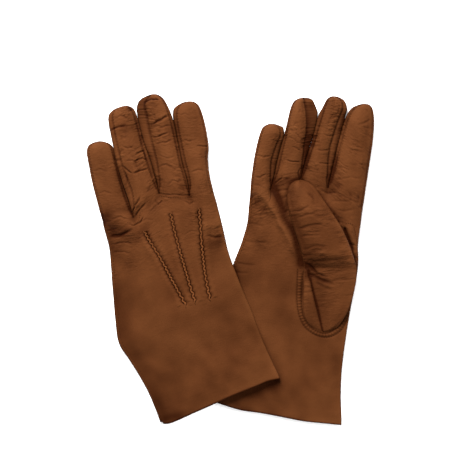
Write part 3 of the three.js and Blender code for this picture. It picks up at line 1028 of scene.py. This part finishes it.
def build_hem(glove, skin):
    """The edge of the leather, rounded over the hem and turned in."""
    grids = skin.grids
    ring = np.concatenate([grids["hand_top"][0], grids["hand_b"][0][1:], grids["hand_under"][0][::-1][1:],
                           grids["hand_a"][0][::-1][1:]])
    ring = ring[np.concatenate([[True], ring[1:] != ring[:-1]])]
    inner = skin.points - LEATHER_THICK * skin.normals()
    outer_edge, inner_edge = skin.points[ring], inner[ring]
    hem_out = hem_direction(skin, ring)
    middle, half = (outer_edge + inner_edge) / 2, (outer_edge - inner_edge) / 2
    angles = np.linspace(math.pi / 2, -math.pi / 2, 7)
    lip = [middle + half * math.sin(a) + hem_out * HEM_ROUND * math.cos(a) for a in angles]
    rows = np.stack(lip + [inner_edge - hem_out * reach for reach in HEM_TURNED_IN])
    count, around = rows.shape[:2]
    q = quads_of(np.arange(count * around).reshape(count, around).T)
    run = np.linspace(0, 250, around)[None, :].repeat(count, 0)
    up = np.arange(count)[:, None].repeat(around, 1) * 0.8
    flow = np.stack([run, up, np.zeros_like(run)], -1).reshape(-1, 3)
    # The rounded edge gets a low shade value: painted shade along it.
    o = piece(f"{glove}_hem", rows.reshape(-1, 3), q, None, flow, np.full(count * around, -1.1))
    o.data.materials.append(LEATHER)
    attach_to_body(o, f"{glove}_hand")


def hem_direction(skin, ring):
    """Out of the glove along its surface, at each point of the hem."""
    following = {}
    for key in ("hand_top", "hand_under", "hand_a", "hand_b"):
        grid = skin.grids[key]
        for a, b in zip(grid[0], grid[4]):
            following[a] = skin.points[a] - skin.points[b]
    out = np.array([following[i] for i in ring])
    return out / np.linalg.norm(out, axis=1, keepdims=True)


# ---------------------------------------------------------------- stitched lines


def zigzag(path, step):
    """A point's wavering line in plan, and the distance along it of each place."""
    line = curve(path, int(length_of(path) / step))
    run = np.linspace(0, length_of(path), len(line))
    ahead = np.gradient(line, axis=0)
    ahead /= np.linalg.norm(ahead, axis=1, keepdims=True)
    side = np.stack([ahead[:, 1], -ahead[:, 0]], 1)
    turns = run / POINT_WAVE + 0.35 * np.sin(run / 7.3) + line[:, 0] / 9
    swing = POINT_SWING * np.sin(turns * 2 * math.pi) * (1 + 0.3 * np.sin(run / 5.1))
    return line + side * swing[:, None], run


class Drape:
    """Finds the height and slope of a skin's upper side under any point of the plan."""

    def __init__(self, skin):
        self.tree = BVHTree.FromPolygons(skin.points.tolist(), skin.all_faces.tolist())

    def at(self, x, y):
        hit, normal, _, _ = self.tree.ray_cast(Vector((x, y, 60)), Vector((0, 0, -1)))
        if normal.z < 0:
            normal = -normal
        return np.array(hit), np.array(normal)

    def lay(self, plan, above):
        """A line of the plan laid on the skin, that far above it."""
        laid = []
        for x, y in plan:
            hit, normal = self.at(x, y)
            laid.append(hit + normal * above)
        return np.array(laid)


def sweep(path, radii, sides):
    """A closed round bar along the path, with a radius for each of its points."""
    ahead = np.gradient(path, axis=0)
    ahead /= np.linalg.norm(ahead, axis=1, keepdims=True)
    side = np.cross(ahead, [0, 0, 1.0])
    side /= np.linalg.norm(side, axis=1, keepdims=True)
    up = np.cross(side, ahead)
    a = np.linspace(0, 2 * math.pi, sides, endpoint=False)
    ring = side[:, None] * np.cos(a)[None, :, None] + up[:, None] * np.sin(a)[None, :, None]
    points = path[:, None] + ring * np.asarray(radii)[:, None, None]
    ids = np.arange(len(path) * sides).reshape(len(path), sides)
    faces = quads_of(np.hstack([ids, ids[:, :1]]))
    ends = []
    for row in (ids[0], ids[-1]):
        ends.append([[row[0], row[j], row[j + 1], row[j + 1]] for j in range(1, sides - 1)])
    first, last = np.array(ends)
    return points.reshape(-1, 3), np.vstack([faces, first[:, ::-1], last])


def join(parts):
    """Several point and face lists as one."""
    points, faces, start = [], [], 0
    for p, f in parts:
        points.append(p)
        faces.append(f + start)
        start += len(p)
    return np.vstack(points), np.vstack(faces)


def stitch_row(drape, path, pitch, length, radius):
    """Short rounded stitches laid end to end along a line of the plan, each as its points and faces."""
    line = curve(path, max(int(length_of(path) / 0.2), 8))
    run = distance_along(line)
    parts = []
    for start in np.arange(0.5, run[-1] - length, pitch):
        at = np.linspace(start, start + length, 5)
        plan = np.stack([np.interp(at, run, line[:, k]) for k in range(2)], 1)
        parts.append(sweep(drape.lay(plan, radius - STITCH_SINK), radius * STITCH_TAPER, 6))
    return parts


def build_thread(name, parts, attach):
    p, f = join(parts)
    o = piece(name, p, f)
    o.data.materials.append(THREAD)
    attach(o)


def seam_line(skin, grid, column, first, last):
    """A seam's line in plan: part of one column of a grid."""
    ids = skin.grids[grid]
    rows = len(ids)
    picked = ids[int(first * rows):max(int(last * rows), 2):6, column]
    return skin.points[picked][:, :2]


def build_stitches(glove, hand):
    drape = Drape(hand)
    for name in FINGERS:
        parts = []
        for column in (2,) if name == "index" else (2, -3):
            line = seam_line(hand, f"{name}_top", column, 0.06, 0.93)
            parts += stitch_row(drape, line, STITCH_PITCH, 1.2, 0.17)
        build_thread(f"{glove}_thread_{name}", parts, lambda o, n=name: attach_finger(o))
    parts = stitch_row(drape, seam_line(hand, "hand_top", 2, 0.02, 0.99), STITCH_PITCH, 1.3, 0.18)
    for path, pitch, length, radius in STITCHED[glove]:
        parts += stitch_row(drape, path, pitch, length, radius)
    build_thread(f"{glove}_thread_hand", parts, lambda o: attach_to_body(o, f"{glove}_hand"))


def build_points(skin):
    """The three raised points on the left glove's back."""
    drape = Drape(skin)
    for name, path in POINTS.items():
        plan, run = zigzag(path, 0.3)
        lifted = drape.lay(plan, 0.95)
        lifted[:, 2] = averaged(lifted[:, 2], 4)
        ends = smooth(0, 2.5, run) * smooth(0, 2.5, run[-1] - run)
        radii = (0.7 + 0.1 * np.sin(run / POINT_WAVE * 4 * math.pi)) * (0.25 + 0.75 * ends)
        p, f = sweep(lifted, radii, POINT_SIDES)
        round_it = np.tile(np.linspace(0, 4, POINT_SIDES), len(run))
        flow = np.stack([round_it, np.repeat(run, POINT_SIDES), np.full(len(p), 40.0)], 1)
        # Painted highlight on the top of the bar and painted shade under it.
        height = np.sin(np.linspace(0, 2 * math.pi, POINT_SIDES, endpoint=False))
        shade = np.full(len(p), 0.7) + 0.6 * np.tile(height, len(run))
        o = piece(f"left_ridge_{name}", p, f, None, flow, shade)
        # The lighter copy of the leather paints a highlight on the points.
        o.data.materials.append(HIGHLIGHT_LEATHER)
        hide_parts(f"left_point_{name}")
        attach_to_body(o, "left_hand")


# ---------------------------------------------------------------- thumbs


def thumb_grids(glove, palm_height):
    """A thumb's grids from root to tip, how far along it each row is, and the height that it lies at."""
    spec = THUMB[glove]
    left, right = outline(spec["root"], spec["a"], spec["tip"], spec["b"], spec["root"])
    rows = int(max(length_of(left), length_of(right)) / STEP)
    left, right = curve(left[::20], rows), curve(right[::20], rows)
    left[0] = right[0] = spec["root"]
    left[-1] = right[-1] = spec["tip"]
    t = np.linspace(0, 1, rows)
    width = np.linalg.norm(right - left, axis=1)
    full = width[t > 0.7].max()
    cap = np.where(t > 0.6, np.clip(width / (0.96 * full), 0, 1), 1) ** 0.85
    root = smooth(0.0, 0.42, t)
    foot = np.clip(width / (0.6 * width.max()), 0, 1) ** 0.7
    side = (0.35 + (THUMB_SIDE - 0.35) * root) * np.where(t > 0.6, cap, 1) * np.where(t < 0.3, foot, 1)
    dome = (1.4 + (THUMB_DOME - 1.4) * root) * np.where(t > 0.6, cap, foot)
    base = averaged(np.array([palm_height(*xy) for xy in (left + right) / 2]), 30)
    base += 0.15 - 0.7 * (1 - smooth(0.0, 0.35, t))
    inset = 2.8 * np.clip(width / (0.5 * full), 0.02, 1) * (0.35 + 0.65 * root)
    grids = section(left, right, inset, inset, base + side, side, dome, np.zeros(rows), THUMB_FULLNESS,
                    THUMB_COLUMNS)
    return grids, t * (rows - 1) * STEP, base


def press_gusset(grids, base):
    """Left of the long crease the leather lies flat near the palm, and right of it the thumb swells."""
    grid = grids["top"]
    before = grid[:, :, 2].copy()
    flat = grid.reshape(-1, 3)
    d, _, side = from_path(flat[:, :2], curve(THUMB_CREASE, 60))
    signed = (d * -side).reshape(grid.shape[:2])
    below = 1 - smooth(-9, 5, grid[:, :, 1])
    floor_level = base[:, None] + 0.9
    swell = np.sqrt(np.clip(signed / 9, 0, 1))
    body = floor_level - 0.7 + (grid[:, :, 2] - floor_level + 0.7) * (0.18 + 0.82 * swell)
    gusset = floor_level + 0.1 * np.clip(-signed, 0, 9)
    target = np.where(signed > 0, body, np.minimum(gusset, grid[:, :, 2]))
    grid[:, :, 2] += below * (target - grid[:, :, 2])
    for key, edge in (("a", 0), ("b", -1)):
        side_strip = grids[key]
        foot = side_strip[:, -1, 2]
        share = (grid[:, edge, 2] - foot) / np.maximum(before[:, edge] - foot, 1e-6)
        side_strip[:, :, 2] = foot[:, None] + (side_strip[:, :, 2] - foot[:, None]) * share[:, None]


def thumb_flow(skin):
    """Places on the hide, away from the hand's."""
    return skin.extra * [1, 1, 0] + [500, 0, 0]


def shape_thumb(glove, hand):
    """A thumb's skin. The right one lies on the palm, and the left one is hidden under its glove."""
    if glove == "right":
        drape = Drape(hand)
        grids, along, base = thumb_grids(glove, lambda x, y: drape.at(x, y)[0][2])
        press_gusset(grids, base)
    else:
        grids, along, base = thumb_grids(glove, lambda x, y: 0.0)
    skin = Skin()
    columns = np.linspace(0, THUMB_BREADTH, THUMB_COLUMNS + 1)
    around = np.linspace(0, 8, SIDE_COLUMNS + 1)
    across = {"top": columns, "under": columns + OTHER_SIDE, "a": -around, "b": THUMB_BREADTH + around}
    for key, grid in grids.items():
        ends = (0, FAR) if key in "ab" else (0, 0)
        skin.add(f"thumb_{key}", grid, across[key][None, :], along[:, None], 9, ends)
    skin.weld()
    wrinkle_thumb(glove, skin)
    return skin


def wrinkle_thumb(glove, skin):
    p, n = skin.points, skin.normals()
    up = smooth(0.1, 0.55, n[:, 2])
    flow = thumb_flow(skin)
    run = skin.extra[:, 1]
    h = 0.5 * noise(flow, (16, 20, 9), 11)
    patch = smooth(-0.4, 0.3, noise(flow, (14, 12, 9), 15))
    middle = smooth(22, 62, run) * (1 - 0.6 * smooth(112, 132, run)) * patch
    add_wrinkles(h, flow, middle, "thumb")
    h += 0.1 * noise(flow, (2.6, 2.2, 9), 14)
    if glove == "right":
        xy = waver(p, flow, 1.3)
        for path, depth, width in THUMB_FOLDS:
            crease(h, xy, path, depth, width)
    # Painted shade in the thumb's wrinkles and painted light on their crests, darker all over, and painted shade
    # and light along the listed lines.
    tone = np.clip(0.55 * h, -0.7, 0.25) - 0.38 + paint_light_and_shade(f"{glove} thumb", p)
    if glove == "right":
        # Painted shade along the long crease.
        d, share, _ = from_path(p[:, :2], curve(THUMB_CREASE, 60))
        tone -= 1.1 * bell(d, 1.1) * smooth(0, 0.1, share)
    skin.points = p + n * (h * up)[:, None]
    skin.shade = tone * up
    skin.crinkle = 0.3 + 0.7 * middle


def build_thumb(glove, skin):
    normals = skin.normals()
    flow = thumb_flow(skin)
    if glove == "left":
        # The hidden thumb's front faces the table, so the same grids serve it turned over.
        low, high = skin.points[:, 2].min(), skin.points[:, 2].max()
        skin.points[:, 2] = low + high - skin.points[:, 2]
        normals = normals * [1, 1, -1]
    for grid, node in (("top", "front"), ("under", "rear"), ("a", "fold_side"), ("b", "seam_side")):
        faces = skin.faces[f"thumb_{grid}"]
        if glove == "left":
            faces = faces[:, ::-1]
        o = piece(f"{glove}_skin_thumb_{node}", skin.points, faces, normals, flow, skin.shade, skin.crinkle)
        o.data.materials.append(LEATHER)
        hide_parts(f"{glove}_thumb_{node}")
        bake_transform(o)


# ---------------------------------------------------------------- materials
def set_inputs(node, values):
    for name, value in values.items():
        node.inputs[name].default_value = value


def new_material(name):
    m = bpy.data.materials.new(name)
    m.use_nodes = True
    shader = m.node_tree.nodes["Principled BSDF"]
    set_inputs(shader, SOFT_SHEEN)
    return m, shader


def leather(name, gain=1.0):
    """Brown glove leather. gain makes it lighter all over."""
    m, shader = new_material(name)
    nodes, links = m.node_tree.nodes, m.node_tree.links

    def add(kind, values):
        node = nodes.new("ShaderNode" + kind)
        set_inputs(node, values)
        return node

    def attribute(label):
        node = add("Attribute", {})
        node.attribute_name = label
        return node

    def texture(scale, detail, stretch=(1, 1, 1), distortion=0.0):
        mapping = add("Mapping", {"Scale": stretch})
        n = add("TexNoise", {"Scale": scale, "Detail": detail, "Distortion": distortion})
        links.new(flow.outputs["Vector"], mapping.inputs["Vector"])
        links.new(mapping.outputs["Vector"], n.inputs["Vector"])
        return n

    flow = attribute("flow")
    ramp = add("ValToRGB", {})
    for element, place, color in zip(ramp.color_ramp.elements, (0.3, 0.7), LEATHER_COLORS):
        element.position = place
        element.color = (*(value * gain for value in color), 1)
    links.new(texture(45, 3).outputs["Fac"], ramp.inputs["Fac"])
    # The shade attribute darkens the colour, redder in the dark, as painted shade, and lightens it above its
    # middle as painted light.
    depth = add("MapRange", {"From Min": -1.4, "From Max": 0.7})
    recess = add("ValToRGB", {})
    recess.color_ramp.elements[0].color = (0.26, 0.17, 0.13, 1)
    recess.color_ramp.elements[1].color = (1.0, 1.0, 1.0, 1)
    recess.color_ramp.elements[1].position = 0.667
    painted_highlight_stop = recess.color_ramp.elements.new(1.0)
    painted_highlight_stop.color = (1.22, 1.28, 1.30, 1)
    links.new(depth.outputs["Result"], recess.inputs["Fac"])
    links.new(attribute("shade").outputs["Fac"], depth.inputs["Value"])
    mix = nodes.new("ShaderNodeMix")
    mix.data_type = "RGBA"
    mix.blend_type = "MULTIPLY"
    mix.inputs["Factor"].default_value = 1
    links.new(ramp.outputs["Color"], mix.inputs["A"])
    links.new(recess.outputs["Color"], mix.inputs["B"])
    links.new(mix.outputs["Result"], shader.inputs["Base Color"])

    rough = add("MapRange", {"To Min": 0.56, "To Max": 0.76})
    links.new(texture(160, 3).outputs["Fac"], rough.inputs["Value"])
    links.new(rough.outputs["Result"], shader.inputs["Roughness"])

    wrinkle = texture(420, 4, (0.62, 1.35, 1), 0.25)
    grain = add("TexVoronoi", {"Scale": 1500})
    links.new(flow.outputs["Vector"], grain.inputs["Vector"])
    low = add("Bump", {"Distance": 0.00095})
    links.new(attribute("crinkle").outputs["Fac"], low.inputs["Strength"])
    links.new(wrinkle.outputs["Fac"], low.inputs["Height"])
    high = add("Bump", {"Strength": 0.45, "Distance": 0.0002})
    links.new(grain.outputs["Distance"], high.inputs["Height"])
    links.new(low.outputs["Normal"], high.inputs["Normal"])
    links.new(high.outputs["Normal"], shader.inputs["Normal"])
    return m


def plain(name, color, roughness):
    m, shader = new_material(name)
    set_inputs(shader, {"Base Color": (*color, 1), "Roughness": roughness})
    return m


LEATHER = leather("leather")
# A lighter copy of the leather, for the painted highlight on the points.
HIGHLIGHT_LEATHER = leather("leather_painted_highlight", 1.2)
THREAD = plain("thread", (0.022, 0.006, 0.0018), 0.8)
CLOTH = plain("lining", (0.075, 0.04, 0.02), 0.9)

# ---------------------------------------------------------------- build
for glove in GLOVES:
    hand = whole_glove(glove)
    displace(glove, hand)
    thumb = shape_thumb(glove, hand)
    shade_recesses(glove, hand, thumb)
    build_glove(glove, hand)
    build_webs(glove, hand)
    build_lining(glove, hand)
    build_hem(glove, hand)
    build_thumb(glove, thumb)
    build_stitches(glove, hand)
    if glove == "left":
        build_points(hand)

# ---------------------------------------------------------------- floor, light and camera
centre = (cad_low + cad_high) / 2

bpy.ops.mesh.primitive_plane_add(size=FLOOR_SIZE, location=(0, 0, cad_low.z))
floor = bpy.context.object
floor.name = "floor"
paper = plain("floor", (0.9, 0.9, 0.9), 0.9)
glow = {"Emission Color": (1, 1, 1, 1), "Emission Strength": 0.3}
set_inputs(paper.node_tree.nodes["Principled BSDF"], glow)
floor.data.materials.append(paper)


def softbox(name, place, size, watts):
    light = bpy.data.lights.new(name, "AREA")
    light.shape = "SQUARE"
    light.size = size
    light.energy = watts
    o = bpy.data.objects.new(name, light)
    o.location = place
    o.rotation_euler = (Vector((0, 0, 0)) - Vector(place)).to_track_quat("-Z", "Y").to_euler()
    bpy.context.scene.collection.objects.link(o)


for light in LIGHTS:
    softbox(*light)

world = bpy.data.worlds.new("world")
world.use_nodes = True
set_inputs(world.node_tree.nodes["Background"], {"Color": (1, 1, 1, 1), "Strength": 0.5})
bpy.context.scene.world = world
bpy.context.scene.view_settings.view_transform = "Standard"

camera = bpy.data.cameras.new("camera")
camera.sensor_width = SENSOR
camera.lens = SENSOR * CAMERA_HEIGHT / VIEW_WIDTH
camera.clip_end = 20
camera_object = bpy.data.objects.new("camera", camera)
camera_object.location = (centre.x, VIEW_SHIFT_Y, CAMERA_HEIGHT)
bpy.context.scene.collection.objects.link(camera_object)
bpy.context.scene.camera = camera_object
